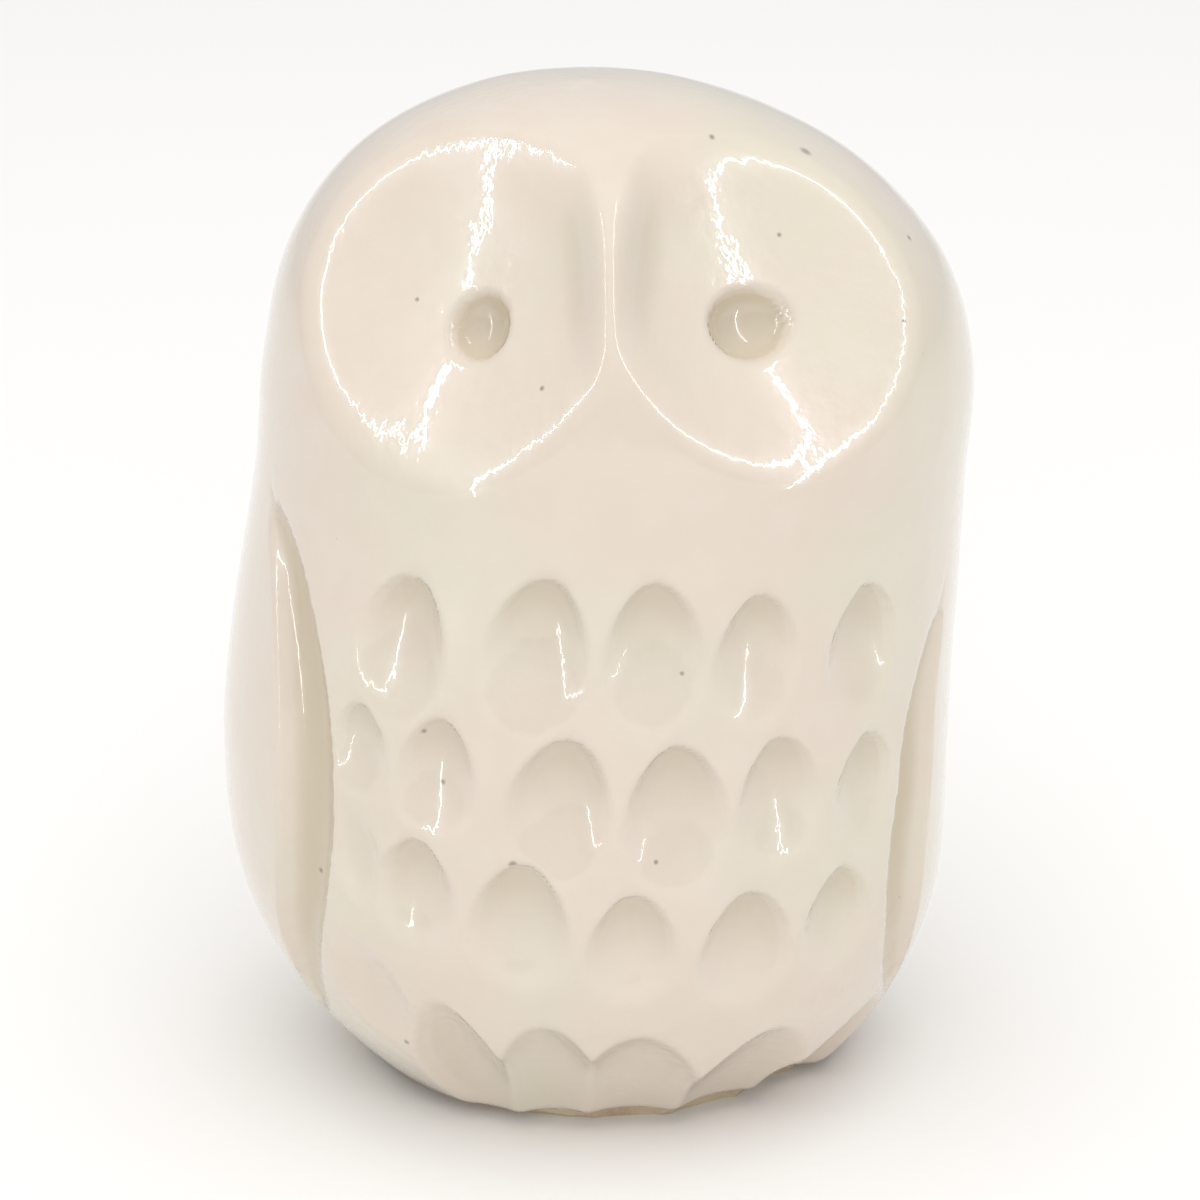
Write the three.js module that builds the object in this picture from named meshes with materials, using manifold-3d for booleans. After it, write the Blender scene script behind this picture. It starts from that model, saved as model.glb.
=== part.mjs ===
// A small carved stoneware owl: a hollow fired clay body, the glass-like glaze fused over it,
// and the oval floor slab that closes the hollow underneath.
// Units are millimetres, +Z is up, and the owl looks along -Y.

import * as THREE from 'three';
import * as BufferGeometryUtils from 'three/addons/utils/BufferGeometryUtils.js';
import Module from 'manifold-3d';

const wasm = await Module();
wasm.setup();

// Overall sizes
const HEIGHT = 71.5;
const HALF_WIDTH = 25.4;
const FRONT_DEPTH_RATIO = 0.86; // half depth over half width, front half
const BACK_DEPTH_RATIO = 0.84;

// Thicknesses and clearances
const GLAZE_THICKNESS = 0.5;
const SKIN_GAP = 0.3; // clearance between the glaze and the clay it covers
const GLAZE_FOOT_HEIGHT = 1.1; // the glaze stops here and leaves the foot dry
const SLAB_GAP = 0.3; // clearance all round the floor slab

// Outline of the uncarved body from the crown down to below the foot:
// [share of the half width, share of the height]
const BODY_OUTLINE = [
  [0.000, 1.000],
  [0.335, 0.983],
  [0.654, 0.926],
  [0.862, 0.839],
  [0.949, 0.734],
  [0.961, 0.615],
  [0.984, 0.476],
  [1.000, 0.336],
  [0.976, 0.210],
  [0.874, 0.112],
  [0.732, 0.042],
  [0.606, 0.000],
  [0.420, -0.040],
  [0.000, -0.060],
];

// The hand-formed body is not quite upright: [share of the height, sideways shift in mm]
const BODY_SWAY = [
  [-0.10, 0.7],
  [0.00, 0.5],
  [0.34, -1.0],
  [0.74, 1.2],
  [1.00, -1.0],
];

// Hollow inside the clay, open underneath at a mouth that the floor slab closes
const WALL_THICKNESS = 9.0;
const CROWN_THICKNESS = 12.0;
const HOLLOW_FLOOR_HEIGHT = 7.5;
const HOLLOW_DEPTH_RATIO = 0.76;

// Floor slab, seated in a rebate cut into the foot, its underside level with the foot
const FOOT_RING_WIDTH = 5.2;
const REBATE_HEIGHT = 4.2;
const LEDGE_WIDTH = 2.2; // the slab's seat all round the mouth
const VENT_RADIUS = 1.6;
const VENT_OFFSET = 4.2; // behind the middle of the slab

// Eye sockets: a wide shallow dish on each side of a narrow nose ridge.
// angle: degrees from the front, + to the owl's left; half: half sizes across, along and into the clay
const SOCKET_DEPTH_HALF = 7.6;
const SOCKET_LIFT = 3.3;
const SOCKETS = [
  { angle: -38, height: 0.853, across: 18.0, along: 22.0, yaw: 10, ridgeX: 0.1 },
  { angle: 35, height: 0.848, across: 15.5, along: 22.0, yaw: -9, ridgeX: 1.1 },
];
const SOCKET_PITCH = 6;
const RIDGE_WALL_LEAN = 28; // degrees the walls of the nose ridge spread with depth
const RIDGE_HEIGHT = 0.867;

// Eye dimples: round-ended hollows pressed into each dish, centred `sunk` below the uncarved surface
const DIMPLES = [
  { angle: -28.4, height: 0.845, sunk: 4.1, half: [2.15, 2.4, 2.3] },
  { angle: 30.6, height: 0.852, sunk: 4.5, half: [2.9, 2.4, 2.1] },
];

// Feather gouges: each starts at its top end, [angle, share of the height, half width, lean].
// The tool's sizes belong to a gouge as wide as GOUGE.halfWidth and scale with the width.
const GOUGE = { halfWidth: 3.6, along: 10.0, into: 2.9, lift: 2.8, reach: 9.3, pitch: 20 };
const GOUGE_TAPER = 0.35; // how much narrower the upper end is
const HEM_TAPER = 0.3;
const GOUGE_SPREAD = 1.6; // cutter width over the width it leaves in the surface
const HEM_SPREAD = 1.2;
const CHEST_GOUGES = [
  [-31.2, 0.597, 3.3, 12],
  [-9.4, 0.610, 3.6, 10],
  [7.0, 0.607, 3.4, 0],
  [24.5, 0.587, 3.1, 5],
  [45.4, 0.572, 3.2, 6],
  [-38.5, 0.467, 2.2, -4],
  [-23.8, 0.467, 2.9, 5],
  [-3.4, 0.456, 3.8, 10],
  [13.0, 0.446, 3.8, 0],
  [30.0, 0.442, 3.2, 0],
  [48.5, 0.421, 2.8, 8],
  [-26.9, 0.344, 3.1, 0],
  [-9.4, 0.329, 3.8, 4],
  [7.4, 0.299, 3.4, 2],
  [25.9, 0.288, 3.8, 3],
  [43.7, 0.291, 3.1, 8],
];

// Hem gouges run off the foot; these are given at their middle
const HEM_GOUGE = { along: 10.5, into: 3.6, lift: 1.7, pitch: 0 };
const HEM_GOUGES = [
  [-26.9, 0.085, 3.3, -5],
  [-10.1, 0.070, 3.8, 0],
  [6.7, 0.056, 4.6, 0],
  [31.0, 0.040, 4.7, 8],
  [55.0, 0.030, 3.8, 22],
  [160.0, 0.070, 4.0, 4],
  [180.0, 0.070, 4.4, 0],
  [200.0, 0.070, 4.0, -4],
];

// Wing grooves: bent cuts with a steep wall on one side and a gentle slope up the wing.
// path: [angle, share of the height] from top to bottom; yaw: which side the steep wall is on
const WING_GROOVES = [
  {
    path: [
      [-68, 0.618], [-60, 0.566], [-54, 0.499], [-50, 0.424],
      [-48.7, 0.345], [-51, 0.257], [-57, 0.166], [-63, 0.098],
    ],
    across: 3.0,
    into: 2.7,
    lift: 1.0,
    yaw: 30,
  },
  {
    path: [[68.4, 0.508], [64, 0.420], [63, 0.340], [61, 0.259], [62.4, 0.179], [68, 0.112]],
    across: 2.8,
    into: 2.6,
    lift: 1.0,
    yaw: -30,
  },
  {
    path: [[-112, 0.600], [-119, 0.480], [-122, 0.350], [-120, 0.220], [-113, 0.110]],
    across: 2.9,
    into: 2.6,
    lift: 1.0,
    yaw: -30,
  },
  {
    path: [[112, 0.600], [119, 0.480], [122, 0.350], [120, 0.220], [113, 0.110]],
    across: 2.9,
    into: 2.6,
    lift: 1.0,
    yaw: 30,
  },
];

// Two shallow knife facets beside the wing on the owl's right:
// [angle, share of the height, half across, half along, half into, lift, lean]
const KNIFE_FACETS = [
  [-37.5, 0.320, 2.4, 4.6, 1.5, 0.8, -12],
  [-39.0, 0.165, 3.4, 6.0, 1.8, 0.9, -14],
];

// Fineness of the curved faces
const BODY_RINGS = 19;
const BODY_SEGMENTS = 32;
const HOLLOW_RINGS = 9;
const HOLLOW_SEGMENTS = 24;
const SOCKET_FINENESS = [20, 12];
const SMALL_CUT_FINENESS = [10, 7];
const GROOVE_FINENESS = [8, 12];
const OUTLINE_SAMPLES = 400;
const WELD_DISTANCE = 1e-4;

const ANGLE_STEP = 0.01; // radians, for measuring how the surface runs
const HEIGHT_STEP = 0.0015; // share of the height
const PATH_STEP = 0.01; // share of a groove's path
const BIG = 200; // side of the boxes that stand in for half spaces

const radians = THREE.MathUtils.degToRad;

// Points along a smooth curve through a short outline, in mm (x: half width, y: height)
function smoothOutline(outline, count) {
  const points = outline.map(([width, height]) => new THREE.Vector2(width * HALF_WIDTH, height * HEIGHT));
  const curve = new THREE.SplineCurve(points).getPoints(count);
  curve.forEach((point) => { point.x = Math.max(point.x, 0); });
  return curve;
}

const bodyCurve = smoothOutline(BODY_OUTLINE, OUTLINE_SAMPLES);
const swayCurve = new THREE.SplineCurve(
  BODY_SWAY.map(([height, shift]) => new THREE.Vector2(height * HEIGHT, shift)),
).getPoints(OUTLINE_SAMPLES);

// Value of the second coordinate where the first passes `at`, along a curve that rises in the first
function valueAlong(curve, at, first, second) {
  for (let i = 1; i < curve.length; i += 1) {
    const before = curve[i - 1];
    const after = curve[i];
    if (after[first] >= at) {
      const part = THREE.MathUtils.clamp((at - before[first]) / (after[first] - before[first]), 0, 1);
      return THREE.MathUtils.lerp(before[second], after[second], part);
    }
  }
  return curve[curve.length - 1][second];
}

const risingBody = [...bodyCurve].reverse();
const halfWidthAt = (height) => valueAlong(risingBody, height, 'y', 'x');
const swayAt = (height) => valueAlong(swayCurve, height, 'x', 'y');

// Turns a round body into the owl's: flatter front to back, and swaying sideways with height
function shapeLikeBody(x, y, z) {
  const ratio = y < 0 ? FRONT_DEPTH_RATIO : BACK_DEPTH_RATIO;
  return new THREE.Vector3(x + swayAt(z), y * ratio, z);
}

// Point of the uncarved body at an angle from the front (radians) and a share of the height
function surfacePoint(angle, share) {
  const height = share * HEIGHT;
  const radius = halfWidthAt(height);
  return shapeLikeBody(radius * Math.sin(angle), -radius * Math.cos(angle), height);
}

// Local axes on the uncarved body: side (toward larger angles), up along the surface, and out of it
function surfaceAxes(degrees, share) {
  const angle = radians(degrees);
  const side = surfacePoint(angle + ANGLE_STEP, share).sub(surfacePoint(angle - ANGLE_STEP, share));
  const up = surfacePoint(angle, share + HEIGHT_STEP).sub(surfacePoint(angle, share - HEIGHT_STEP));
  side.normalize();
  const out = side.clone().cross(up).normalize();
  up.copy(out).cross(side);
  return { point: surfacePoint(angle, share), side, up, out };
}

function toSolid(geometry) {
  const bare = geometry.clone();
  bare.deleteAttribute('normal');
  bare.deleteAttribute('uv');
  const welded = BufferGeometryUtils.mergeVertices(bare, WELD_DISTANCE);
  return new wasm.Manifold(new wasm.Mesh({
    numProp: 3,
    vertProperties: new Float32Array(welded.attributes.position.array),
    triVerts: new Uint32Array(welded.index.array),
  }));
}

function toGeometry(solid) {
  const mesh = solid.getMesh();
  const geometry = new THREE.BufferGeometry();
  geometry.setAttribute('position', new THREE.BufferAttribute(mesh.vertProperties, 3));
  geometry.setIndex(new THREE.BufferAttribute(mesh.triVerts, 1));
  geometry.computeVertexNormals();
  return geometry;
}

// Moves every point of a closed shape inward along its own normal
function inset(geometry, depth) {
  const bare = geometry.clone();
  bare.deleteAttribute('normal');
  bare.deleteAttribute('uv');
  const welded = BufferGeometryUtils.mergeVertices(bare, WELD_DISTANCE);
  welded.computeVertexNormals();
  const { position, normal } = welded.attributes;
  for (let i = 0; i < position.count; i += 1) {
    position.setXYZ(
      i,
      position.getX(i) - normal.getX(i) * depth,
      position.getY(i) - normal.getY(i) * depth,
      position.getZ(i) - normal.getZ(i) * depth,
    );
  }
  return welded;
}

// Lathed shape standing on +Z; the outline runs from the top down and closes on the axis
function turned(curve, segments) {
  const geometry = new THREE.LatheGeometry([...curve].reverse(), segments);
  geometry.rotateX(Math.PI / 2);
  return geometry;
}

function uncarvedBody(depth) {
  const geometry = turned(smoothOutline(BODY_OUTLINE, BODY_RINGS), BODY_SEGMENTS);
  const { position } = geometry.attributes;
  for (let i = 0; i < position.count; i += 1) {
    const moved = shapeLikeBody(position.getX(i), position.getY(i), position.getZ(i));
    position.setXYZ(i, moved.x, moved.y, moved.z);
  }
  return toSolid(inset(geometry, depth));
}

// Egg-shaped cutter: half sizes across, along and into the clay; taper narrows its upper end
function egg([across, along, into], [segments, rings], taper = 0) {
  const geometry = new THREE.SphereGeometry(1, segments, rings);
  const { position } = geometry.attributes;
  for (let i = 0; i < position.count; i += 1) {
    const narrowing = 1 - taper * position.getY(i);
    position.setXYZ(
      i,
      position.getX(i) * narrowing * across,
      position.getY(i) * along,
      position.getZ(i) * into,
    );
  }
  return geometry;
}

// Puts a cutter on the body: reach slides it down from its anchor, lift raises it off the surface,
// pitch sinks its upper end, yaw sinks its side end, and lean tips its upper end sideways
function placeOnBody(geometry, { angle, height, lift, reach = 0, pitch = 0, yaw = 0, lean = 0 }) {
  const axes = surfaceAxes(angle, height);
  const leanTurn = new THREE.Matrix4().makeRotationZ(-radians(lean));
  const fullTurn = new THREE.Matrix4().makeRotationFromEuler(
    new THREE.Euler(-radians(pitch), radians(yaw), -radians(lean), 'ZXY'),
  );
  const basis = new THREE.Matrix4().makeBasis(axes.side, axes.up, axes.out);
  const offset = new THREE.Vector3(0, -reach, lift).applyMatrix4(leanTurn).applyMatrix4(basis);
  geometry.applyMatrix4(basis.clone().multiply(fullTurn).setPosition(axes.point.add(offset)));
  return geometry;
}

// Half space on the far side of one nose-ridge wall, as a big box with one face on the wall
function ridgeSide(ridgeX, sign, grow) {
  const { point, out } = surfaceAxes(0, RIDGE_HEIGHT);
  const toRidge = new THREE.Vector3(-sign * Math.cos(radians(RIDGE_WALL_LEAN)), 0, 0)
    .addScaledVector(out, -Math.sin(radians(RIDGE_WALL_LEAN)))
    .normalize();
  const box = new THREE.BoxGeometry(BIG, BIG, BIG);
  box.translate(0, 0, grow - BIG / 2);
  box.applyQuaternion(new THREE.Quaternion().setFromUnitVectors(new THREE.Vector3(0, 0, 1), toRidge));
  box.translate(ridgeX, point.y, point.z);
  return toSolid(box);
}

function socketCut({ angle, height, across, along, yaw, ridgeX }, grow) {
  const dish = egg([across + grow, along + grow, SOCKET_DEPTH_HALF + grow], SOCKET_FINENESS);
  placeOnBody(dish, { angle, height, lift: SOCKET_LIFT, pitch: SOCKET_PITCH, yaw });
  return toSolid(dish).intersect(ridgeSide(ridgeX, Math.sign(angle), grow));
}

function dimpleCut({ angle, height, sunk, half }, grow) {
  const geometry = egg(half.map((size) => size + grow), SMALL_CUT_FINENESS);
  return toSolid(placeOnBody(geometry, { angle, height, lift: -sunk }));
}

function gougeCut([angle, height, halfWidth, lean], grow) {
  const size = halfWidth / GOUGE.halfWidth;
  const half = [GOUGE_SPREAD * halfWidth + grow, GOUGE.along * size + grow, GOUGE.into * size + grow];
  return toSolid(placeOnBody(egg(half, SMALL_CUT_FINENESS, GOUGE_TAPER), {
    angle,
    height,
    lean,
    lift: GOUGE.lift * size,
    reach: GOUGE.reach * size,
    pitch: GOUGE.pitch,
  }));
}

function hemCut([angle, height, halfWidth, lean], grow) {
  const half = [HEM_SPREAD * halfWidth + grow, HEM_GOUGE.along + grow, HEM_GOUGE.into + grow];
  const cutter = egg(half, SMALL_CUT_FINENESS, HEM_TAPER);
  return toSolid(placeOnBody(cutter, { angle, height, lean, lift: HEM_GOUGE.lift, pitch: HEM_GOUGE.pitch }));
}

function facetCut([angle, height, across, along, into, lift, lean], grow) {
  const cutter = egg([across + grow, along + grow, into + grow], SMALL_CUT_FINENESS);
  return toSolid(placeOnBody(cutter, { angle, height, lift, lean }));
}

// Egg bent along its path over the body; its ends shrink to points
function grooveCut({ path, across, into, lift, yaw }, grow) {
  const curve = new THREE.SplineCurve(path.map(([angle, height]) => new THREE.Vector2(angle, height)));
  const geometry = new THREE.SphereGeometry(1, ...GROOVE_FINENESS);
  const { position } = geometry.attributes;
  for (let i = 0; i < position.count; i += 1) {
    const along = position.getY(i);
    const part = THREE.MathUtils.clamp((1 - along) / 2, PATH_STEP, 1 - PATH_STEP);
    const here = curve.getPoint(part);
    const before = curve.getPoint(part - PATH_STEP);
    const after = curve.getPoint(part + PATH_STEP);
    const { point, out } = surfaceAxes(here.x, here.y);
    const upward = surfacePoint(radians(before.x), before.y).sub(surfacePoint(radians(after.x), after.y));
    const side = upward.cross(out).normalize();
    const turn = radians(yaw);
    const across3 = side.clone().multiplyScalar(Math.cos(turn)).addScaledVector(out, -Math.sin(turn));
    const into3 = side.multiplyScalar(Math.sin(turn)).addScaledVector(out, Math.cos(turn));
    const fullness = Math.sqrt(1 - along * along);
    point.addScaledVector(out, lift * fullness);
    point.addScaledVector(across3, position.getX(i) * (across + grow));
    point.addScaledVector(into3, position.getZ(i) * (into + grow));
    position.setXYZ(i, point.x, point.y, point.z);
  }
  return toSolid(geometry);
}

// The carved owl with its whole surface set back by `depth`
function carvedBody(depth) {
  const cuts = [
    ...SOCKETS.map((socket) => socketCut(socket, depth)),
    ...DIMPLES.map((dimple) => dimpleCut(dimple, depth)),
    ...CHEST_GOUGES.map((gouge) => gougeCut(gouge, depth)),
    ...HEM_GOUGES.map((gouge) => hemCut(gouge, depth)),
    ...KNIFE_FACETS.map((facet) => facetCut(facet, depth)),
    ...WING_GROOVES.map((groove) => grooveCut(groove, depth)),
  ];
  return cuts.reduce((body, cut) => body.subtract(cut), uncarvedBody(depth));
}

// Everything above a height
function above(height) {
  return toSolid(new THREE.BoxGeometry(BIG, BIG, BIG).translate(0, 0, height + BIG / 2));
}

// Upright oval prism between two heights
function ovalPrism(halfWidth, halfDepth, bottom, top) {
  const geometry = new THREE.CylinderGeometry(1, 1, top - bottom, HOLLOW_SEGMENTS);
  geometry.rotateX(Math.PI / 2);
  geometry.scale(halfWidth, halfDepth, 1);
  return geometry.translate(0, 0, (top + bottom) / 2);
}

function glazeCoat() {
  return carvedBody(0).subtract(carvedBody(GLAZE_THICKNESS)).intersect(above(GLAZE_FOOT_HEIGHT));
}

const footHalfWidth = halfWidthAt(0);
const rebateHalfWidth = footHalfWidth - FOOT_RING_WIDTH;
const rebateHalfDepth = footHalfWidth * BACK_DEPTH_RATIO - FOOT_RING_WIDTH;

// The hollow follows the body, a wall's thickness inside it, and closes under the crown
function hollow() {
  const topHeight = HEIGHT - CROWN_THICKNESS;
  const curve = [new THREE.Vector2(0, -1)];
  const mouth = rebateHalfWidth - LEDGE_WIDTH;
  curve.push(new THREE.Vector2(mouth, -1), new THREE.Vector2(mouth, HOLLOW_FLOOR_HEIGHT - LEDGE_WIDTH));
  for (let ring = 0; ring < HOLLOW_RINGS; ring += 1) {
    const height = THREE.MathUtils.lerp(HOLLOW_FLOOR_HEIGHT, topHeight, ring / HOLLOW_RINGS);
    const outside = Math.min(halfWidthAt(height), halfWidthAt(height + CROWN_THICKNESS));
    const inside = outside - WALL_THICKNESS;
    if (inside > 0) {
      curve.push(new THREE.Vector2(inside, height));
    }
  }
  curve.push(new THREE.Vector2(0, curve[curve.length - 1].y + 1));
  return toSolid(turned(curve.reverse(), HOLLOW_SEGMENTS).scale(1, HOLLOW_DEPTH_RATIO, 1));
}

function clayBody() {
  const rebate = ovalPrism(rebateHalfWidth, rebateHalfDepth, -1, REBATE_HEIGHT);
  return carvedBody(GLAZE_THICKNESS + SKIN_GAP)
    .intersect(above(0))
    .subtract(hollow())
    .subtract(toSolid(rebate));
}

function floorSlab() {
  const slab = ovalPrism(
    rebateHalfWidth - SLAB_GAP,
    rebateHalfDepth - SLAB_GAP,
    0,
    REBATE_HEIGHT - SLAB_GAP,
  );
  const vent = new THREE.CylinderGeometry(VENT_RADIUS, VENT_RADIUS, BIG, HOLLOW_SEGMENTS);
  vent.rotateX(Math.PI / 2);
  return toSolid(slab).subtract(toSolid(vent.translate(0, VENT_OFFSET, 0)));
}

const GLAZE = new THREE.MeshStandardMaterial({ color: 0xe8ddcb, roughness: 0.12, metalness: 0 });
const CLAY = new THREE.MeshStandardMaterial({ color: 0xcbb899, roughness: 0.85, metalness: 0 });
const SLAB_CLAY = new THREE.MeshStandardMaterial({ color: 0xc6b292, roughness: 0.88, metalness: 0 });

function piece(name, solid, material) {
  const mesh = new THREE.Mesh(toGeometry(solid), material);
  mesh.name = name;
  return mesh;
}

const owl = new THREE.Group();
owl.name = 'owl_figurine';
owl.add(
  piece('glaze_coat', glazeCoat(), GLAZE),
  piece('clay_body', clayBody(), CLAY),
  piece('floor_slab', floorSlab(), SLAB_CLAY),
);

export default owl;
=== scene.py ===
"""The carved stoneware owl: fine glaze surface, clay and slab finishes, floor, lights and camera."""

import math

import bpy
import numpy as np
from mathutils import Matrix, Vector, noise


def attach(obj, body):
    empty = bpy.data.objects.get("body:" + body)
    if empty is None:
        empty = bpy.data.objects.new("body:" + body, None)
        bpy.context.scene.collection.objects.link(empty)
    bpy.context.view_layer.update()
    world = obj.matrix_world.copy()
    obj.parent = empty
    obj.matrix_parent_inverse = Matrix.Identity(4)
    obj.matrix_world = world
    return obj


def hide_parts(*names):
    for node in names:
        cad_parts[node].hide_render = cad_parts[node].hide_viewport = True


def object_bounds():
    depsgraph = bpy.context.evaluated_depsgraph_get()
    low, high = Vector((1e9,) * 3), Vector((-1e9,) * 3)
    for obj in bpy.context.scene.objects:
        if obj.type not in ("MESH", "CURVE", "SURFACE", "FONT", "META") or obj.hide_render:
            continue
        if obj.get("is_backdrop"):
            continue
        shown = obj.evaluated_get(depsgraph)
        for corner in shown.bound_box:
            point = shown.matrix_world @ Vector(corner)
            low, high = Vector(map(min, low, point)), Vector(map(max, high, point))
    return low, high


MM = 0.001

# Overall sizes in mm, the same values as the CAD
HEIGHT = 71.5
HALF_WIDTH = 25.4
FRONT_DEPTH_RATIO = 0.86
BACK_DEPTH_RATIO = 0.84
GLAZE_THICKNESS = 0.5
GLAZE_FOOT_HEIGHT = 1.1

# Uncarved body from the crown down: (share of the half width, share of the height)
BODY_OUTLINE = (
    (0.000, 1.000),
    (0.335, 0.983),
    (0.654, 0.926),
    (0.862, 0.839),
    (0.949, 0.734),
    (0.961, 0.615),
    (0.984, 0.476),
    (1.000, 0.336),
    (0.976, 0.210),
    (0.874, 0.112),
    (0.732, 0.042),
    (0.606, 0.000),
    (0.420, -0.040),
    (0.000, -0.060),
)

# (share of the height, sideways shift in mm)
BODY_SWAY = ((-0.10, 0.7), (0.00, 0.5), (0.34, -1.0), (0.74, 1.2), (1.00, -1.0))

# Eye sockets
SOCKET_DEPTH_HALF = 7.6
SOCKET_LIFT = 3.3
SOCKET_PITCH = 6
SOCKETS = (
    dict(angle=-38, height=0.853, across=18.0, along=22.0, yaw=10, ridge_x=0.1),
    dict(angle=35, height=0.848, across=15.5, along=22.0, yaw=-9, ridge_x=1.1),
)
RIDGE_WALL_LEAN = 28
RIDGE_HEIGHT = 0.867
RIDGE_FOOT_ROUNDING = 1.2

DIMPLES = (
    dict(angle=-28.4, height=0.845, sunk=4.1, half=(2.15, 2.4, 2.3)),
    dict(angle=30.6, height=0.852, sunk=4.5, half=(2.9, 2.4, 2.1)),
)

# Chest gouges: (angle, share of the height, half width, lean) at their upper end
GOUGE = dict(half_width=3.6, along=10.0, into=2.9, lift=2.8, reach=9.3, pitch=20)
GOUGE_TAPER = 0.35
HEM_TAPER = 0.3
GOUGE_SPREAD = 1.6
HEM_SPREAD = 1.2
CHEST_GOUGES = (
    (-31.2, 0.597, 3.3, 12),
    (-9.4, 0.610, 3.6, 10),
    (7.0, 0.607, 3.4, 0),
    (24.5, 0.587, 3.1, 5),
    (45.4, 0.572, 3.2, 6),
    (-38.5, 0.467, 2.2, -4),
    (-23.8, 0.467, 2.9, 5),
    (-3.4, 0.456, 3.8, 10),
    (13.0, 0.446, 3.8, 0),
    (30.0, 0.442, 3.2, 0),
    (48.5, 0.421, 2.8, 8),
    (-26.9, 0.344, 3.1, 0),
    (-9.4, 0.329, 3.8, 4),
    (7.4, 0.299, 3.4, 2),
    (25.9, 0.288, 3.8, 3),
    (43.7, 0.291, 3.1, 8),
)

# Hem gouges run off the foot and are given at their middle
HEM_GOUGE = dict(along=10.5, into=3.6, lift=1.7, pitch=0)
HEM_GOUGES = (
    (-26.9, 0.085, 3.3, -5),
    (-10.1, 0.070, 3.8, 0),
    (6.7, 0.056, 4.6, 0),
    (31.0, 0.040, 4.7, 8),
    (55.0, 0.030, 3.8, 22),
    (160.0, 0.070, 4.0, 4),
    (180.0, 0.070, 4.4, 0),
    (200.0, 0.070, 4.0, -4),
)

# Wing grooves: path of (angle, share of the height) from top to bottom
WING_GROOVES = (
    dict(
        path=((-68, 0.618), (-60, 0.566), (-54, 0.499), (-50, 0.424),
              (-48.7, 0.345), (-51, 0.257), (-57, 0.166), (-63, 0.098)),
        across=3.0, into=2.7, lift=1.0, yaw=30,
    ),
    dict(
        path=((68.4, 0.508), (64, 0.420), (63, 0.340), (61, 0.259), (62.4, 0.179), (68, 0.112)),
        across=2.8, into=2.6, lift=1.0, yaw=-30,
    ),
    dict(
        path=((-112, 0.600), (-119, 0.480), (-122, 0.350), (-120, 0.220), (-113, 0.110)),
        across=2.9, into=2.6, lift=1.0, yaw=-30,
    ),
    dict(
        path=((112, 0.600), (119, 0.480), (122, 0.350), (120, 0.220), (113, 0.110)),
        across=2.9, into=2.6, lift=1.0, yaw=30,
    ),
)

# Shallow knife facets: (angle, share of the height, across, along, into, lift, lean)
KNIFE_FACETS = (
    (-37.5, 0.320, 2.4, 4.6, 1.5, 0.8, -12),
    (-39.0, 0.165, 3.4, 6.0, 1.8, 0.9, -14),
)

# How far the molten glaze rounds each kind of edge, in mm
SOCKET_SOFTNESS = 1.6
DIMPLE_SOFTNESS = 0.6
GOUGE_SOFTNESS = 0.45
GROOVE_SOFTNESS = 0.7

GLAZE_LIP_ROUNDING = 0.7
GLAZE_LINE_WAVE = 0.12
# (waves round the foot, where they start in radians, share of the wave's height)
GLAZE_LINE_WAVES = ((3, 0.6, 1.0), (8, 2.0, 0.6), (17, 0.0, 0.4))
HAND_WOBBLE = ((14.0, 0.10), (5.0, 0.03))  # (size, height) in mm

# Larger iron specks: (angle, share of the height, radius in mm)
IRON_SPECKS = (
    (-10.9, 0.333, 0.28),
    (72.6, 0.945, 0.40),
    (47.8, 0.971, 0.20),
    (-23.1, 0.404, 0.18),
    (-27.0, 0.453, 0.20),
    (-36.8, 0.105, 0.22),
    (12.9, 0.519, 0.16),
    (10.9, 0.333, 0.16),
    (74.4, 0.866, 0.22),
    (58.1, 0.812, 0.16),
    (-45.0, 0.857, 0.16),
    (-49.5, 0.271, 0.20),
    (49.4, 0.918, 0.16),
    (-12.9, 0.788, 0.18),
    (150.0, 0.620, 0.24),
    (-168.0, 0.410, 0.28),
    (118.0, 0.780, 0.20),
)

# Fineness
OUTLINE_SAMPLES = 4000
GROOVE_STATIONS = 80
QUADS_PER_FACE_EDGE = 124
FRONT_BIAS = 0.35
OUTSIDE_SHARE = 0.82  # share of the closed skin's polar range that lies outside
RIM_ANGLES = 721
RIM_SAMPLES = 120
RIM_SEARCH_HEIGHT = 8.0  # mm above the table
RIM_SEARCH_END = 0.9  # share of the outline
# Hollow measures that drive the pooled glaze and painted shade in the cuts
POOL_AND_SHADE_SCALES = (("fine_hollow", 12), ("broad_hollow", 160))  # (attribute, smoothing rounds)
NORMAL_STEP = 2e-4
NEAR_POLE = 0.9
SAME_DIRECTION = 1e6  # directions that agree to one part in this are one vertex

# Limits inside the cutters, in mm unless the name says share
OUTSIDE = -50.0  # depth where a cutter doesn't reach
OUTSIDE_STEEPNESS = 3.0
CUT_REACH_SHARE = 1.15
CUT_REACH_MARGIN = 3.0
GROOVE_REACH = 12.0
GROOVE_REACH_STRIDE = 8
GROOVE_END_FALL = 0.2
THINNEST_GROOVE_SHARE = 0.02
LEAST_FACING = 0.15  # cosine between the way in and the ridge wall's normal

# Camera: lens and sensor in mm, distances in metres, elevation in degrees
CAMERA_DISTANCE = 0.330
CAMERA_ELEVATION = 22.0
CAMERA_AIM_HEIGHT = 0.0341
CAMERA_LENS = 142.56
SENSOR_WIDTH = 36.0
NEAR_CLIP = 0.01

# Studio, in metres and watts: soft lights aimed at the middle of the owl give the shading, and
# a narrow strip at each side, slanting upward, gives the thin highlights on the wet-looking glaze
FLOOR_HALF_WIDTH = 1.5
WORLD_STRENGTH = 0.62
LIGHT_UP = (0.0, 1.0, 1.0)
# (name, place, size, power)
SOFT_LIGHTS = (
    ("overhead_soft", (0.0, -0.10, 0.75), (0.9, 0.9), 3.8),
    ("front_soft", (0.0, -0.75, 0.45), (0.8, 0.6), 1.5),
)
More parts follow.
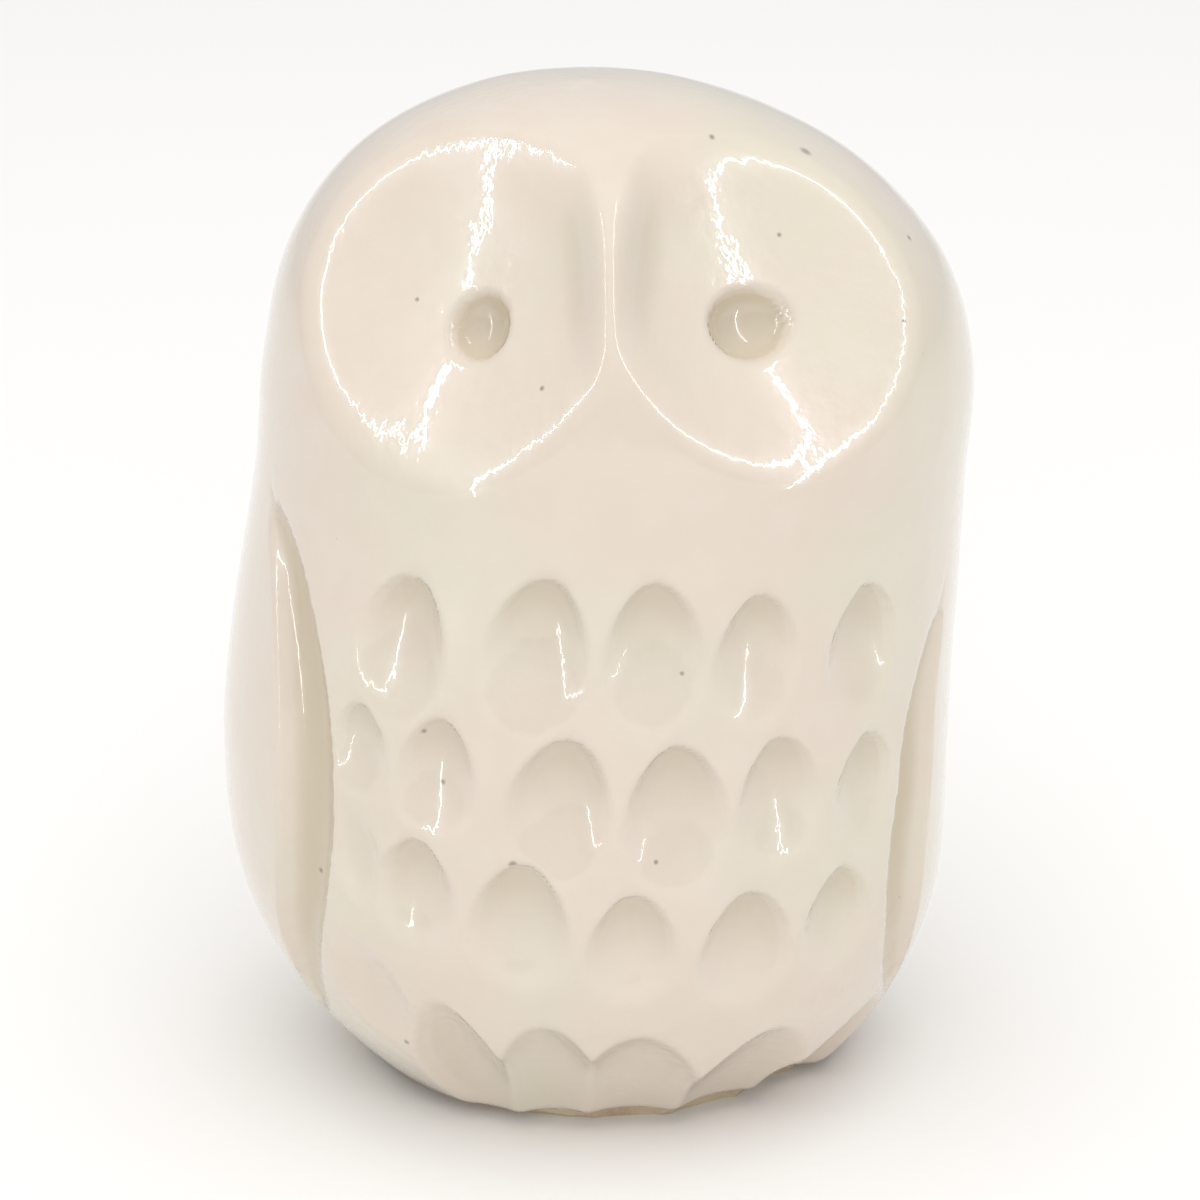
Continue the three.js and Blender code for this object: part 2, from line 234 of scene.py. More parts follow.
# (name, lower end, upper end, power)
STRIP_LIGHTS = (
    ("left_strip", (-0.070, -0.100, 0.002), (-0.150, -0.085, 0.205), 0.036),
    ("right_strip", (0.066, -0.066, 0.002), (0.125, -0.075, 0.215), 0.036),
)
STRIP_WIDTH = 0.002


def srgb(red, green, blue):
    """Colour from 0-255 display values, as the shader's linear numbers."""
    shares = [value / 255 for value in (red, green, blue)]
    linear = [s / 12.92 if s <= 0.04045 else ((s + 0.055) / 1.055) ** 2.4 for s in shares]
    return (*linear, 1.0)


GLAZE_CREAM = srgb(219, 210, 192)
GLAZE_BLUSH = srgb(221, 207, 192)
GLAZE_MILKY = srgb(225, 216, 203)
# Glaze pooled in the hollows, darkened further as painted shade there
GLAZE_POOLED_AND_SHADED = srgb(208, 196, 174)
# Deepest pooled glaze, dark enough to paint in the shade at the gouge tops and in the grooves
GLAZE_DEEP_POOL_AND_SHADE = srgb(194, 178, 148)
SPECK_FAINT = srgb(205, 190, 160)
SPECK_BROWN = srgb(128, 108, 88)
SPECK_DARK = srgb(84, 74, 66)
CLAY_PALE = srgb(214, 196, 170)
CLAY_DARK = srgb(190, 168, 140)
CLAY_SAND = srgb(226, 212, 190)
CLAY_GROG = srgb(236, 226, 208)
SLAB_PALE = srgb(208, 188, 162)
SLAB_DARK = srgb(182, 160, 132)
FLOOR_COLOUR = srgb(246, 245, 243)

# Where each glaze layer sets in and is full: noise from 0 to 1, hollows and grooves in mm
WARM_RANGE = (0.38, 0.58)
MILKY_RANGE = (0.35, 0.75)
# The pool ranges pick the hollows where pooled glaze and painted shade darken the glaze
BROAD_POOL_AND_SHADE_RANGE = (0.15, 0.90)
FINE_POOL_AND_SHADE_RANGE = (0.02, 0.14)
GROOVE_POOL_AND_SHADE_RANGE = (0.6, 1.6)

# How strongly each layer colours the glaze under it, from 0 to 1
MILKY_SHARE = 0.35
# The pool shares set how far pooled glaze and painted shade darken the hollows
BROAD_POOL_AND_SHADE_SHARE = 0.50
FINE_POOL_AND_SHADE_SHARE = 0.22
GROOVE_POOL_AND_SHADE_SHARE = 0.65
FAINT_SPOT_SHARE = 0.30
SMALL_SPECK_SHARE = 0.55
PLACED_SPECK_SHARE = 0.62

# A larger speck fades out between these shares of its radius
SPECK_FADE = (1.5, 0.3)


def catmull(points, count):
    """Uniform Catmull-Rom curve through the points, the same curve as the CAD's splines."""
    points = np.array(points, float)
    last = len(points) - 1
    place = np.linspace(0, last, count + 1)
    start = np.minimum(np.floor(place).astype(int), last - 1)
    part = (place - start)[:, None]
    p0 = points[np.maximum(start - 1, 0)]
    p1 = points[start]
    p2 = points[start + 1]
    p3 = points[np.minimum(start + 2, last)]
    v0 = (p2 - p0) * 0.5
    v1 = (p3 - p1) * 0.5
    return (
        (2 * p1 - 2 * p2 + v0 + v1) * part**3
        + (-3 * p1 + 3 * p2 - 2 * v0 - v1) * part**2
        + v0 * part
        + p1
    )


# ---- Shape of the uncarved body ----------------------------------------------------------------


BODY_CURVE = catmull([(w * HALF_WIDTH, h * HEIGHT) for w, h in BODY_OUTLINE], OUTLINE_SAMPLES)
BODY_CURVE[:, 0] = np.maximum(BODY_CURVE[:, 0], 0.0)
BODY_ARC = np.concatenate([[0.0], np.cumsum(np.hypot(*np.diff(BODY_CURVE, axis=0).T))])
SWAY_CURVE = catmull([(h * HEIGHT, shift) for h, shift in BODY_SWAY], OUTLINE_SAMPLES)


def unit(vectors):
    return vectors / np.linalg.norm(vectors, axis=-1, keepdims=True)


def shape_like_body(radius, theta, height):
    """Places a ring point on the flattened, swaying body. theta is measured from the front."""
    depth_ratio = np.where(np.cos(theta) > 0, FRONT_DEPTH_RATIO, BACK_DEPTH_RATIO)
    x = radius * np.sin(theta) + np.interp(height, SWAY_CURVE[:, 0], SWAY_CURVE[:, 1])
    y = -radius * np.cos(theta) * depth_ratio
    return np.stack([x, y, height + 0.0 * x], axis=-1)


def body_point(arc, theta):
    """Point of the uncarved body, arc mm along the outline from the crown."""
    radius = np.interp(arc, BODY_ARC, BODY_CURVE[:, 0])
    height = np.interp(arc, BODY_ARC, BODY_CURVE[:, 1])
    return shape_like_body(radius, theta, height)


def side_point(angle, share):
    """Point of the uncarved body at an angle in radians and a share of the height."""
    height = share * HEIGHT
    radius = np.interp(height, BODY_CURVE[::-1, 1], BODY_CURVE[::-1, 0])
    return shape_like_body(radius, angle, height)


def surface_axes(degrees, share, angle_step=0.01, height_step=0.0015):
    """Point, and the side, up and out directions of the uncarved body there."""
    angle = math.radians(degrees)
    side = unit(side_point(angle + angle_step, share) - side_point(angle - angle_step, share))
    up = side_point(angle, share + height_step) - side_point(angle, share - height_step)
    out = unit(np.cross(side, up))
    return side_point(angle, share), side, np.cross(out, side), out


# ---- Cutters: how deep each one reaches below the body -----------------------------------------


def turn(degrees, axis):
    return np.array(Matrix.Rotation(math.radians(degrees), 3, axis))


def exit_depth(offset, inward, half):
    """Depth at which a ray leaves an ellipsoid; offset and inward are in its own axes."""
    start = offset / half
    way = inward / half
    way_square = (way * way).sum(axis=1)
    nearest = -(start * way).sum(axis=1) / way_square
    miss_square = (start * start).sum(axis=1) - nearest**2 * way_square
    miss = np.sqrt(np.maximum(miss_square, 0.0))
    inside = nearest + np.sqrt(np.maximum(1.0 - miss_square, 0.0) / way_square)
    outside = nearest - (miss - 1.0) * OUTSIDE_STEEPNESS * np.min(half)
    return np.where(miss < 1.0, inside, outside)


def egg_cut(angle, height, half, lift=0.0, reach=0.0, pitch=0.0, yaw=0.0, lean=0.0, taper=0.0):
    """Egg-shaped cutter placed like the CAD's: returns its depth function."""
    point, side, up, out = surface_axes(angle, height)
    basis = np.stack([side, up, out], axis=1)
    leaned = basis @ turn(-lean, "Z")
    axes = leaned @ turn(-pitch, "X") @ turn(yaw, "Y")
    centre = point + leaned @ np.array([0.0, -reach, lift])
    half = np.array(half, float)

    def depth(points, normals, grow):
        size = half + grow
        found = np.full(len(points), OUTSIDE)
        reach_here = size.max() * CUT_REACH_SHARE + CUT_REACH_MARGIN
        near = np.linalg.norm(points - centre, axis=1) < reach_here
        offset = (points[near] - centre) @ axes
        inward = -normals[near] @ axes
        narrowing = 1.0 - taper * np.clip(offset[:, 1] / size[1], -1.0, 1.0)
        offset[:, 0] /= narrowing
        inward[:, 0] /= narrowing
        found[near] = exit_depth(offset, inward, size)
        return found

    return depth


def smooth_max(a, b, reach):
    """The larger of two depths, rounded where they come within reach of each other."""
    blend = np.maximum(reach - np.abs(a - b), 0.0) / reach
    return np.maximum(a, b) + blend * blend * reach * 0.25


def socket_cut(angle, height, across, along, yaw, ridge_x):
    """Dish that stops at one wall of the nose ridge."""
    dish = egg_cut(
        angle, height, (across, along, SOCKET_DEPTH_HALF), SOCKET_LIFT, pitch=SOCKET_PITCH, yaw=yaw
    )
    point, _, _, out = surface_axes(0.0, RIDGE_HEIGHT)
    lean = math.radians(RIDGE_WALL_LEAN)
    to_ridge = np.array([-math.copysign(math.cos(lean), angle), 0.0, 0.0]) - out * math.sin(lean)
    to_ridge = to_ridge / np.linalg.norm(to_ridge)
    wall_point = np.array([ridge_x, point[1], point[2]])

    def depth(points, normals, grow):
        dished = dish(points, normals, grow)
        facing = np.maximum(-normals @ to_ridge, LEAST_FACING)
        walled = (grow - (points - wall_point) @ to_ridge) / facing
        return -smooth_max(-dished, -walled, RIDGE_FOOT_ROUNDING)

    return depth


def gouge_cut(angle, height, half_width, lean):
    size = half_width / GOUGE["half_width"]
    half = (GOUGE_SPREAD * half_width, GOUGE["along"] * size, GOUGE["into"] * size)
    return egg_cut(
        angle, height, half, GOUGE["lift"] * size, GOUGE["reach"] * size,
        pitch=GOUGE["pitch"], lean=lean, taper=GOUGE_TAPER,
    )


def hem_cut(angle, height, half_width, lean):
    half = (HEM_SPREAD * half_width, HEM_GOUGE["along"], HEM_GOUGE["into"])
    return egg_cut(
        angle, height, half, HEM_GOUGE["lift"], pitch=HEM_GOUGE["pitch"], lean=lean, taper=HEM_TAPER
    )


def groove_cut(path, across, into, lift, yaw):
    """Egg bent along its path: at each station its section is an ellipse."""
    stations = [surface_axes(angle, share) for angle, share in catmull(path, GROOVE_STATIONS)]
    on_body = np.array([station[0] for station in stations])
    out = np.array([station[3] for station in stations])
    upward = unit(-np.gradient(on_body, axis=0))
    side = unit(np.cross(upward, out))
    tilt = math.radians(yaw)
    across_axis = side * math.cos(tilt) - out * math.sin(tilt)
    into_axis = side * math.sin(tilt) + out * math.cos(tilt)
    along = np.linspace(1.0, -1.0, len(stations))
    fullness = np.sqrt(np.maximum(1.0 - along * along, 0.0))
    centres = on_body + out * (lift * fullness)[:, None]

    def depth(points, normals, grow):
        found = np.full(len(points), OUTSIDE)
        box_gap = np.abs(points[:, None, :] - on_body[None, ::GROOVE_REACH_STRIDE, :]).max(axis=2)
        near = np.nonzero((box_gap < GROOVE_REACH).any(axis=1))[0]
        here = points[near]
        distance = ((here[:, None, :] - on_body[None]) ** 2).sum(axis=2)
        station = distance.argmin(axis=1)
        full = np.maximum(fullness[station], THINNEST_GROOVE_SHARE)
        half = np.stack([across * full, into * full], axis=1) + grow
        offset = here - centres[station]
        axes = np.stack([across_axis[station], into_axis[station]], axis=1)
        start = np.einsum("nij,nj->ni", axes, offset) / half
        way = -np.einsum("nij,nj->ni", axes, normals[near]) / half
        way_square = (way * way).sum(axis=1)
        nearest = -(start * way).sum(axis=1) / way_square
        miss_square = np.maximum((start * start).sum(axis=1) - nearest**2 * way_square, 0.0)
        inside = nearest + np.sqrt(np.maximum(1.0 - miss_square, 0.0) / way_square)
        outside = nearest - (np.sqrt(miss_square) - 1.0) * OUTSIDE_STEEPNESS * half[:, 1]
        deep = np.where(miss_square < 1.0, inside, outside)
        past_end = (station == 0) | (station == len(stations) - 1)
        gap = np.sqrt(distance[np.arange(len(near)), station])
        found[near] = np.where(past_end, np.minimum(deep, -GROOVE_END_FALL * gap), deep)
        return found

    return depth


def wing_cuts():
    return [(groove_cut(**groove), GROOVE_SOFTNESS) for groove in WING_GROOVES]


def all_cuts():
    """Every cutter with the distance over which the glaze rounds its edges."""
    cuts = [(socket_cut(**socket), SOCKET_SOFTNESS) for socket in SOCKETS]
    cuts += [
        (egg_cut(d["angle"], d["height"], d["half"], -d["sunk"]), DIMPLE_SOFTNESS) for d in DIMPLES
    ]
    cuts += [(gouge_cut(*gouge), GOUGE_SOFTNESS) for gouge in CHEST_GOUGES]
    cuts += [(hem_cut(*gouge), GOUGE_SOFTNESS) for gouge in HEM_GOUGES]
    cuts += wing_cuts()
    for angle, height, across, along, into, lift, lean in KNIFE_FACETS:
        cuts.append((egg_cut(angle, height, (across, along, into), lift, lean=lean), GOUGE_SOFTNESS))
    return cuts


def carved_depth(points, normals, cuts, grow):
    """Depth of the carved surface below the uncarved one, with everything set back by grow."""
    depth = np.full(len(points), grow)
    for cut, softness in cuts:
        reached = cut(points, normals, grow)
        touched = reached > OUTSIDE
        depth[touched] = smooth_max(depth[touched], reached[touched], softness)
    return depth


# ---- Meshes ------------------------------------------------------------------------------------


def quad_sphere(edge_quads):
    """Unit directions and quads of a sphere made of six even grids, without poles."""
    spread = np.tan(np.linspace(-np.pi / 4, np.pi / 4, edge_quads + 1))
    u, v = np.meshgrid(spread, spread, indexing="ij")
    one = np.ones_like(u)
    sides = ((u, v, one), (v, u, -one), (one, u, v), (-one, v, u), (v, one, u), (u, -one, v))
    directions = unit(np.concatenate([np.stack(side, axis=-1).reshape(-1, 3) for side in sides]))
    row = edge_quads + 1
    corner = (np.arange(edge_quads)[:, None] * row + np.arange(edge_quads)[None]).ravel()
    corners = np.concatenate([corner + side * row * row for side in range(len(sides))])
    quads = np.stack([corners, corners + row, corners + row + 1, corners + 1], axis=1)
    rounded = np.round(directions * SAME_DIRECTION).astype(np.int64)
    _, first, place = np.unique(rounded, axis=0, return_index=True, return_inverse=True)
    return directions[first], place.ravel()[quads]


def uncarved(directions):
    """Points of the uncarved body; the polar angle of a unit direction runs along the outline."""
    arc = np.arccos(np.clip(directions[:, 2], -1.0, 1.0)) / np.pi * BODY_ARC[-1]
    return body_point(arc, np.arctan2(directions[:, 0], -directions[:, 1]))


def uncarved_with_normals(arc, theta):
    """Points and outward normals of the uncarved body, without a pole at the crown."""
    polar = arc / BODY_ARC[-1] * np.pi
    ring = np.sin(polar)
    directions = np.stack([ring * np.sin(theta), -ring * np.cos(theta), np.cos(polar)], axis=1)
    helper = np.where(np.abs(directions[:, 2:]) > NEAR_POLE, [[1.0, 0.0, 0.0]], [[0.0, 0.0, 1.0]])
    across = unit(np.cross(directions, helper)) * NORMAL_STEP
    along = unit(np.cross(directions, across)) * NORMAL_STEP
    run = uncarved(unit(directions + across)) - uncarved(unit(directions - across))
    rise = uncarved(unit(directions + along)) - uncarved(unit(directions - along))
    return uncarved(directions), unit(np.cross(run, rise))


def carved(arc, theta, cuts, grow):
    points, normals = uncarved_with_normals(arc, theta)
    return points - normals * carved_depth(points, normals, cuts, grow)[:, None]


def glaze_line(theta):
    """Height at which the wiped glaze ends, slightly wavy round the foot."""
    wave = sum(share * np.sin(count * theta + start) for count, start, share in GLAZE_LINE_WAVES)
    return GLAZE_FOOT_HEIGHT + GLAZE_LINE_WAVE * wave


def rim_arcs(cuts):
    """Arc along the outline at which the clay passes the glaze line, for a ring of angles."""
    angles = np.linspace(-np.pi, np.pi, RIM_ANGLES)
    low_heights = BODY_CURVE[:, 1] < RIM_SEARCH_HEIGHT
    arcs = np.linspace(BODY_ARC[low_heights][0], BODY_ARC[-1] * RIM_SEARCH_END, RIM_SAMPLES)
    grid_angles, grid_arcs = np.meshgrid(angles, arcs, indexing="ij")
    heights = carved(grid_arcs.ravel(), grid_angles.ravel(), cuts, GLAZE_THICKNESS)[:, 2]
    over = heights.reshape(grid_arcs.shape) - glaze_line(angles)[:, None]
    passed = (over < 0.0).argmax(axis=1)
    ring = np.arange(RIM_ANGLES)
    before = over[ring, passed - 1]
    part = before / (before - over[ring, passed])
    return angles, arcs[passed - 1] + part * (arcs[passed] - arcs[passed - 1])


def smoothed(vertices, quads, rounds):
    """Vertices after some rounds of moving each to the middle of its neighbours."""
    edges = np.concatenate([quads[:, [i, (i + 1) % 4]] for i in range(4)])
    starts = np.concatenate([edges[:, 0], edges[:, 1]])
    ends = np.concatenate([edges[:, 1], edges[:, 0]])
    count = np.bincount(starts, minlength=len(vertices))[:, None]
    for _ in range(rounds):
        sums = [np.bincount(starts, vertices[ends, axis], len(vertices)) for axis in range(3)]
        vertices = np.stack(sums, axis=1) / count
    return vertices


def add_mesh(name, vertices, quads):
    mesh = bpy.data.meshes.new(name)
    mesh.from_pydata((vertices * MM).tolist(), [], quads.tolist())
    mesh.polygons.foreach_set("use_smooth", [True] * len(mesh.polygons))
    mesh.update()
    piece = bpy.data.objects.new(name, mesh)
    bpy.context.scene.collection.objects.link(piece)
    return piece


def add_attribute(piece, name, values):
    """A number for each vertex, which the materials can read."""
    attribute = piece.data.attributes.new(name, "FLOAT", "POINT")
    attribute.data.foreach_set("value", values)


def hand_wobble(points):
    """Slow unevenness of a hand-scraped surface, in mm, for each point."""
    found = np.zeros(len(points))
    for size, height in HAND_WOBBLE:
        found += height * np.array([noise.noise(Vector(point / size)) for point in points])
    return found


def glaze_coat(cuts):
    """Closed glaze skin: down the carved outside, round the lip at the foot and back up inside."""
    directions, quads = quad_sphere(QUADS_PER_FACE_EDGE)
    directions = unit(directions + [0.0, -FRONT_BIAS, 0.0])
    polar = np.arccos(np.clip(directions[:, 2], -1.0, 1.0)) / np.pi
    theta = np.arctan2(directions[:, 0], -directions[:, 1])
    rim = np.interp(theta, *rim_arcs(cuts))
    outside = polar <= OUTSIDE_SHARE
    down = np.where(outside, polar / OUTSIDE_SHARE, (1.0 - polar) / (1.0 - OUTSIDE_SHARE))
    arc = rim * down
    points, normals = uncarved_with_normals(arc, theta)
    depth = np.empty(len(points))
    for side, grow in ((outside, 0.0), (~outside, GLAZE_THICKNESS)):
        depth[side] = carved_depth(points[side], normals[side], cuts, grow)
    to_rim = np.clip(1.0 - (rim - arc) / GLAZE_LIP_ROUNDING, 0.0, 1.0)
    lip = GLAZE_THICKNESS * (1.0 - np.sqrt(1.0 - to_rim**2))
    depth += np.where(outside, lip, 0.0) - hand_wobble(points) * (1.0 - to_rim)
    vertices = points - normals * depth[:, None]
    piece = add_mesh("glaze_surface", vertices, quads)
    # Hollow measures for the pooled glaze and painted shade
    for name, rounds in POOL_AND_SHADE_SCALES:
        hollow = ((smoothed(vertices, quads, rounds) - vertices) * normals).sum(axis=1)
        add_attribute(piece, name, np.where(outside, hollow, 0.0))
    # Groove depth steers the pooled glaze and painted shade in the wing grooves
    groove_depth = carved_depth(points, normals, wing_cuts(), 0.0)
    add_attribute(piece, "groove_depth", np.where(outside, groove_depth, 0.0))
    return piece


# ---- Materials ---------------------------------------------------------------------------------


class Shader:
    """A material's node tree with short ways to add and link nodes."""

    def __init__(self, name):
        self.material = bpy.data.materials.new(name)
        self.material.use_nodes = True
        self.tree = self.material.node_tree
        self.surface = self.tree.nodes["Principled BSDF"]
        self.place = self.node("ShaderNodeTexCoord").outputs["Object"]

    def node(self, kind, inputs=None, **settings):
        made = self.tree.nodes.new(kind)
        for name, value in settings.items():
            setattr(made, name, value)
        for name, value in (inputs or {}).items():
            self.feed(made.inputs[name], value)
        return made

    def feed(self, socket, value):
        if isinstance(value, bpy.types.NodeSocket):
            self.tree.links.new(value, socket)
        else:
            socket.default_value = value

    def noise(self, size_mm, detail=2.0, roughness=0.5, distortion=0.0):
        """Noise from 0 to 1 whose blotches are about size_mm across."""
        inputs = {
            "Vector": self.place,
            "Scale": 1.0 / (size_mm * MM),
            "Detail": detail,
            "Roughness": roughness,
            "Distortion": distortion,
        }
        return self.node("ShaderNodeTexNoise", inputs).outputs["Fac"]

    def math(self, operation, first, second=0.0, clamp=False):
        made = self.node("ShaderNodeMath", {0: first, 1: second}, operation=operation)
        made.use_clamp = clamp
        return made.outputs[0]

    def ramp(self, value, low, high, start=0.0, end=1.0, smooth=True):
        inputs = {"Value": value, "From Min": low, "From Max": high, "To Min": start, "To Max": end}
        kind = "SMOOTHSTEP" if smooth else "LINEAR"
        return self.node("ShaderNodeMapRange", inputs, interpolation_type=kind).outputs["Result"]

    def mix(self, share, first, second):
        made = self.node("ShaderNodeMix", data_type="RGBA")
        self.feed(made.inputs["Factor"], share)
        self.feed(made.inputs["A"], first)
        self.feed(made.inputs["B"], second)
        return made.outputs["Result"]

    def spots(self, spacing_mm, radius_mm, softness_mm, jitter_from=0.0):
        """1 inside round spots scattered spacing_mm apart, each of its own size, 0 outside."""
        inputs = {"Vector": self.place, "Scale": 1.0 / (spacing_mm * MM), "Randomness": 1.0}
        cells = self.node("ShaderNodeTexVoronoi", inputs, feature="F1")
        chance = self.node("ShaderNodeSeparateColor", {"Color": cells.outputs["Color"]})
        size = self.ramp(chance.outputs["Red"], jitter_from, 1.0, 0.0, radius_mm, smooth=False)
        away = self.math("MULTIPLY", cells.outputs["Distance"], spacing_mm)
        edge = self.math("SUBTRACT", size, away)
        return self.ramp(edge, 0.0, softness_mm)

    def attribute(self, name):
        return self.node("ShaderNodeAttribute", attribute_name=name).outputs["Fac"]

    def bump(self, height, distance_mm, strength=1.0, under=None):
        inputs = {"Height": height, "Distance": distance_mm * MM, "Strength": strength}
        if under is not None:
            inputs["Normal"] = under
        return self.node("ShaderNodeBump", inputs).outputs["Normal"]


def speck_places(cuts):
    """Points of the carved surface where the larger iron specks sit."""
    angles = np.radians([speck[0] for speck in IRON_SPECKS])
    heights = np.array([speck[1] for speck in IRON_SPECKS]) * HEIGHT
    arcs = np.interp(heights, BODY_CURVE[::-1, 1], BODY_ARC[::-1])
    return carved(arcs, angles, cuts, 0.0)


def placed_specks(shader, cuts):
    """1 in each of the few larger iron specks, 0 elsewhere."""
    found = 0.0
    for point, (_, _, radius) in zip(speck_places(cuts), IRON_SPECKS):
        gap = shader.node("ShaderNodeVectorMath", {0: shader.place}, operation="DISTANCE")
        gap.inputs[1].default_value = point * MM
        outer, inner = (radius * MM * share for share in SPECK_FADE)
        inside = shader.ramp(gap.outputs["Value"], outer, inner)
        found = shader.math("MAXIMUM", found, inside)
    return found


def glaze_material(cuts):
    """Cream glaze: warm mottling, pooled glaze and painted shade darkening the cuts, iron specks, wet
    gloss.
    """
    shader = Shader("cream_glaze")
    warmth = shader.ramp(shader.noise(15.0, detail=2.0), *WARM_RANGE)
    colour = shader.mix(warmth, GLAZE_CREAM, GLAZE_BLUSH)
    cloud = shader.ramp(shader.noise(4.0, detail=4.0, roughness=0.6), *MILKY_RANGE)
    colour = shader.mix(shader.math("MULTIPLY", cloud, MILKY_SHARE), colour, GLAZE_MILKY)
    # Broad hollows: pooled glaze plus painted shade darkening the cuts
    broad_pool_and_shade = shader.ramp(shader.attribute("broad_hollow"), *BROAD_POOL_AND_SHADE_RANGE)
    colour = shader.mix(shader.math("MULTIPLY", broad_pool_and_shade, BROAD_POOL_AND_SHADE_SHARE), colour, GLAZE_POOLED_AND_SHADED)
    # Fine hollows: pooled glaze plus painted shade under the gouges' upper walls
    fine_pool_and_shade = shader.ramp(shader.attribute("fine_hollow"), *FINE_POOL_AND_SHADE_RANGE)
    colour = shader.mix(shader.math("MULTIPLY", fine_pool_and_shade, FINE_POOL_AND_SHADE_SHARE), colour, GLAZE_DEEP_POOL_AND_SHADE)
    # Wing grooves: pooled glaze plus painted shade along their cores
    groove_pool_and_shade = shader.ramp(shader.attribute("groove_depth"), *GROOVE_POOL_AND_SHADE_RANGE)
    colour = shader.mix(shader.math("MULTIPLY", groove_pool_and_shade, GROOVE_POOL_AND_SHADE_SHARE), colour, GLAZE_DEEP_POOL_AND_SHADE)
    faint = shader.spots(3.6, 0.30, 0.22, jitter_from=0.45)
    colour = shader.mix(shader.math("MULTIPLY", faint, FAINT_SPOT_SHARE), colour, SPECK_FAINT)
    small = shader.spots(6.5, 0.22, 0.10, jitter_from=0.62)
    colour = shader.mix(shader.math("MULTIPLY", small, SMALL_SPECK_SHARE), colour, SPECK_BROWN)
    placed = shader.math("MULTIPLY", placed_specks(shader, cuts), PLACED_SPECK_SHARE)
    colour = shader.mix(placed, colour, SPECK_DARK)
    ripple = shader.noise(1.1, detail=2.0, roughness=0.45)
    rough_patches = shader.ramp(shader.noise(9.0, detail=1.0), 0.45, 0.65)
    ripple_height = shader.math("MULTIPLY", ripple, shader.math("ADD", rough_patches, 0.35))
    pinholes = shader.spots(4.2, 0.16, 0.12, jitter_from=0.7)
    normal = shader.bump(ripple_height, 0.035)
    normal = shader.bump(shader.math("MULTIPLY", pinholes, -1.0), 0.05, under=normal)
    roughness = shader.ramp(shader.noise(0.9, detail=3.0), 0.3, 0.7, 0.16, 0.26)
    surface = shader.surface
    shader.feed(surface.inputs["Base Color"], colour)
    shader.feed(surface.inputs["Roughness"], roughness)
    shader.feed(surface.inputs["Normal"], normal)
    shader.feed(surface.inputs["Coat Normal"], normal)
    surface.inputs["Coat Weight"].default_value = 1.0
    surface.inputs["Coat Roughness"].default_value = 0.03
    surface.inputs["Coat IOR"].default_value = 1.55
    return shader.material


def clay_material(name, pale, dark, grain_mm):
    """Fired, unglazed stoneware: sandy grog, darker grains and a dry finish."""
    shader = Shader(name)
    blotch = shader.ramp(shader.noise(6.0, detail=3.0), 0.35, 0.7)
    colour = shader.mix(blotch, pale, dark)
    sand = shader.ramp(shader.noise(grain_mm, detail=5.0, roughness=0.7), 0.4, 0.65)
    colour = shader.mix(shader.math("MULTIPLY", sand, 0.35), colour, CLAY_SAND)
    grog = shader.spots(1.6, 0.28, 0.08, jitter_from=0.3)
    colour = shader.mix(shader.math("MULTIPLY", grog, 0.6), colour, CLAY_GROG)
    iron = shader.spots(4.0, 0.30, 0.10, jitter_from=0.5)
    colour = shader.mix(shader.math("MULTIPLY", iron, 0.75), colour, SPECK_BROWN)
    normal = shader.bump(shader.noise(grain_mm, detail=6.0, roughness=0.7), 0.06)
    normal = shader.bump(grog, 0.05, under=normal)
    shader.feed(shader.surface.inputs["Base Color"], colour)
    shader.feed(shader.surface.inputs["Roughness"], shader.ramp(sand, 0.0, 1.0, 0.72, 0.92))
    shader.feed(shader.surface.inputs["Normal"], normal)
    return shader.material


def floor_material():
    shader = Shader("pale_floor")
    shader.surface.inputs["Base Color"].default_value = FLOOR_COLOUR
    shader.surface.inputs["Roughness"].default_value = 0.9
    shader.surface.inputs["Specular IOR Level"].default_value = 0.1
    return shader.material


def give_material(piece, material):
    piece.data.materials.clear()
    piece.data.materials.append(material)


# ---- Floor, light and camera -------------------------------------------------------------------


def add_floor():
    edge = FLOOR_HALF_WIDTH / MM
    ground = np.array([(-edge, -edge, 0), (edge, -edge, 0), (edge, edge, 0), (-edge, edge, 0)], float)
    floor = add_mesh("floor", ground, np.array([[0, 1, 2, 3]]))
    give_material(floor, floor_material())
    floor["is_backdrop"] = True


def add_area_light(name, place, size, power, facing, upward):
    """Rectangular light: facing is where it shines, upward the way its long side runs."""
    lamp = bpy.data.lights.new(name, "AREA")
    lamp.shape = "RECTANGLE"
    lamp.size, lamp.size_y = size
    lamp.energy = power
    light = bpy.data.objects.new(name, lamp)
    bpy.context.scene.collection.objects.link(light)
    back = -facing.normalized()
    across = upward.cross(back).normalized()
    turned = Matrix((across, back.cross(across), back)).transposed()
    light.matrix_world = Matrix.Translation(place) @ turned.to_4x4()
    light.visible_camera = False
    return light


